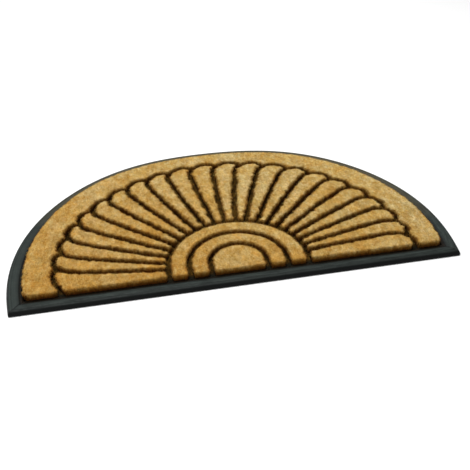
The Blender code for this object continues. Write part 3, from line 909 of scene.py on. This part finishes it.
def rubber_base():
    """Rim: the profile carried round the outline, always with the same number of
    points on it.  Plate: a flat slab inside the rim's inner line."""
    inset = np.array([d for d, _ in RIM])
    height = np.array([z for _, z in RIM])
    rings = np.stack([rim_ring(d) for d in inset])
    k, n = rings.shape[:2]
    rim = np.concatenate([rings, np.broadcast_to(height[:, None, None], (k, n, 1))], 2)
    # The mitre: a fine crease where the front and the arc of the rim meet
    right_mitre = FRONT_POINTS + CORNER_POINTS // 2
    corner = [right_mitre, n - 1 - CORNER_POINTS // 2]
    far = np.linalg.norm(rings[:, :, None] - rings[:, corner][:, None], axis=3).min(2)
    near = np.exp(-(far / MITRE_WIDTH) ** 2)
    face = (height > 0.0062) & (inset < 0.0235) & (inset > 0.003)
    rim[face, :, 2] -= MITRE_DEPTH * near[face]
    wave = drift(np.stack([np.arange(n) * 0.25, np.zeros(n), np.zeros(n)], 1), 8.0)
    rim[face, :, 2] += 0.00008 * wave
    ids = np.arange(k * n).reshape(k, n)
    ids = np.vstack([np.hstack([ids, ids[:, :1]]), np.hstack([ids[:1], ids[:1, :1]])])
    faces = [wall_faces(ids)]
    points = [rim.reshape(-1, 3)]
    # Dust on the rim, with painted shade: less on the front and in the groove, none on the outer
    # edge and next to the pile, and less along the mitres
    at, arc, front = np.transpose(RIM_DUST_AND_SHADE)
    # Share of it kept across the arc: partly dust, partly painted light, lightest at the left end
    dust_and_light_kept = np.interp(rings[0][:, 0], *np.transpose(DUST_AND_LIGHT_ACROSS))
    dust_and_shade = np.where(np.arange(n) < right_mitre, np.interp(inset, at, front)[:, None],
                    np.interp(inset, at, arc)[:, None] * dust_and_light_kept)
    # Painted shade along the mitre creases: the dust value is taken down there
    dust_and_shade *= 1.0 - 0.9 * near
    web = np.repeat(np.clip((inset - 0.0205) / 0.0020, 0.0, 1.0) * (height > 0.001), n)
    along = np.tile(run_of(np.vstack([rings[0], rings[0][:1]]))[:-1], k)
    # Coir dust on the rim of the back arc, most of it next to the pile
    angle = np.degrees(from_centre(rings[0])[0])
    start, end = HUSK_ARC
    window = np.sin(math.pi * np.clip((angle - start) / (end - start), 0.0, 1.0)) ** 0.6
    husk = ((0.16 + 0.44 * np.clip(inset / 0.018, 0.0, 1.0))[:, None] * window
            * (height > 0.006)[:, None])

    low = rim_ring(PLATE_INSET)
    m = len(low)
    middle = np.array([[0.0, MID_Y]])
    levels = (PLATE_LOW, PLATE_TOP)
    points.append(np.vstack([np.hstack([low, np.full((m, 1), z)]) for z in levels]
                            + [np.hstack([middle, [[z]]]) for z in levels]))
    i = np.arange(m)
    j = (i + 1) % m
    faces += [np.stack(quad, 1) + k * n for quad in (
        [i, j, j + m, i + m], [j, i, np.full(m, 2 * m)], [i + m, j + m, np.full(m, 2 * m + 1)])]
    points = np.vstack(points)
    points[:, 1] -= MID_Y
    plate = np.zeros(len(points) - k * n)
    make_piece("rubber_base_moulding", points, faces, RUBBER, ["rubber_base"], values={
        "dust_and_shade": np.append(dust_and_shade, plate), "husk": np.append(husk, plate),
        "web": np.append(web, plate + 1.0), "along": np.append(along, plate),
        "inset": np.append(np.repeat(inset, n), plate)})


# Rib in a channel, as (distance from its middle, height)
RIB = ((-0.0046, 0.0010), (-0.0046, 0.0052), (-0.0041, 0.0060), (-0.0028, WEB_TOP - 0.00005),
       (0.0, WEB_TOP + 0.0001), (0.0028, WEB_TOP - 0.00005), (0.0041, 0.0060),
       (0.0046, 0.0052), (0.0046, 0.0010))
RIB_STEP, RIB_FRONT = 0.003, 0.0235     # spacing of its stations, and where they start
SWEPT, LITTERED = 0.0290, 0.0390        # litter starts at one and is full at the other


def channel_ribs():
    """A crowned profile carried along the middle of each channel."""
    points, faces, start = [], [], 0
    for line in LINES + [arch(r)[::-1] for r in RING_RADII]:
        run = run_of(line)[-1]
        line = at_lengths(line, np.linspace(0.0, run, int(run / RIB_STEP) + 2))
        line = line[line[:, 1] > RIB_FRONT]
        m = len(line)
        rib = np.stack([np.hstack([beside(line, x), np.full((m, 1), z)]) for x, z in RIB])
        q = np.arange(len(RIB) * m).reshape(len(RIB), m) + start
        q = np.vstack([q, q[:1]])
        faces += [grid_faces(q), q[:-1, 0][::-1][None], q[:-1, -1][None]]
        points.append(rib.reshape(-1, 3))
        start += rib.size // 3

    points = np.vstack(points)
    litter = np.clip((points[:, 1] - SWEPT) / (LITTERED - SWEPT), 0.0, 1.0)
    points[:, 1] -= MID_Y
    make_piece("rubber_base_ribs", points, faces, DUSTY_RUBBER, values={"litter": litter})


rubber_base()
channel_ribs()
coir_block("coir_band", band_outline(), (-0.3524, COIR_INSET), (0.3524, COIR_INSET), 25,
           0.050, True)
for j in range(1, PETALS + 1):
    loop = petal_outline(j)
    tail = loop[np.linalg.norm(loop - [0.0, FAN_Y], axis=1).argmin()]
    tip = loop[np.linalg.norm(loop - tail, axis=1).argmax()]
    coir_block("coir_petal_%02d" % j, loop, tail, tip, 15)
for name, outer, inner in (("coir_ring_outer", 2, 1), ("coir_ring_inner", 1, 0)):
    r = RING_RADII[outer] - HALF
    coir_block(name, ring_outline(RING_RADII[outer], RING_RADII[inner]), (-r, COIR_INSET),
               (r, COIR_INSET), 15, 0.026)
coir_block("coir_centre", disc_outline(), (-0.043, COIR_INSET), (0.043, COIR_INSET), 32)


# Floor, lights and camera

FLOOR_HALF, FLOOR_Z = 6.0, -0.0002


def floor():
    x = np.array([-1.0, 1.0, 1.0, -1.0]) * FLOOR_HALF
    points = np.stack([x, x[[0, 0, 1, 1]], np.full(4, FLOOR_Z)], 1)
    mesh = bpy.data.meshes.new("floor")
    mesh.from_pydata(points.tolist(), [], [(0, 1, 2, 3)])
    paper, _, shader = new_finish("studio paper", (0.9, 0.9, 0.9), 0.9)
    shader.inputs["Base Color"].default_value = (0.93, 0.93, 0.93, 1.0)
    mesh.materials.append(paper)
    piece = bpy.data.objects.new("floor", mesh)
    SCENE.collection.objects.link(piece)


def softbox(name, place, size, power):
    """A round area light of that size, aimed at the middle of the mat."""
    lamp = bpy.data.lights.new(name, "AREA")
    lamp.shape, lamp.size, lamp.energy = "DISK", size, power
    holder = bpy.data.objects.new(name, lamp)
    holder.location = place
    x, y, z = (-v for v in place)
    holder.rotation_euler = (math.atan2(math.hypot(x, y), -z), 0.0, math.atan2(-x, y))
    SCENE.collection.objects.link(holder)


floor()
softbox("overhead", (-0.3, 0.5, 2.4), 1.6, 62.0)
softbox("front fill", (-1.4, -1.8, 1.6), 1.2, 10.0)
world = bpy.data.worlds.new("studio")
SCENE.world = world
world.use_nodes = True
world.node_tree.nodes["Background"].inputs[0].default_value = (1.0, 1.0, 1.0, 1.0)
world.node_tree.nodes["Background"].inputs[1].default_value = 0.42
SCENE.view_settings.view_transform = "Standard"

# Camera: azimuth, elevation and roll in degrees, distance to a point on the mat,
# focal length in pixels of a picture of that width
AZIMUTH, ELEVATION, ROLL, DISTANCE = -10.185, 34.936, -1.414, 1.3507
TARGET = np.array([0.0123, -0.07715, 0.0])
F_PIXELS, PICTURE_WIDTH = 758.3, 470.0
SENSOR_MM = 36.0


def stand_camera():
    az, el, roll = (math.radians(v) for v in (AZIMUTH, ELEVATION, ROLL))
    back = np.array([math.sin(az) * math.cos(el), -math.cos(az) * math.cos(el), math.sin(el)])
    right = np.cross(-back, [0.0, 0.0, 1.0])
    right /= np.linalg.norm(right)
    up = np.cross(right, -back)
    side = math.cos(roll) * right + math.sin(roll) * up
    top = -math.sin(roll) * right + math.cos(roll) * up
    lens = bpy.data.cameras.new("camera")
    lens.sensor_width, lens.lens = SENSOR_MM, F_PIXELS / PICTURE_WIDTH * SENSOR_MM
    lens.clip_start, lens.clip_end = 0.05, 50.0
    holder = bpy.data.objects.new("camera", lens)
    turn = np.eye(4)
    turn[:3] = np.stack([side, top, back, TARGET + back * DISTANCE], 1)
    SCENE.collection.objects.link(holder)
    holder.matrix_world = Matrix(turn.tolist())
    SCENE.camera = holder


stand_camera()
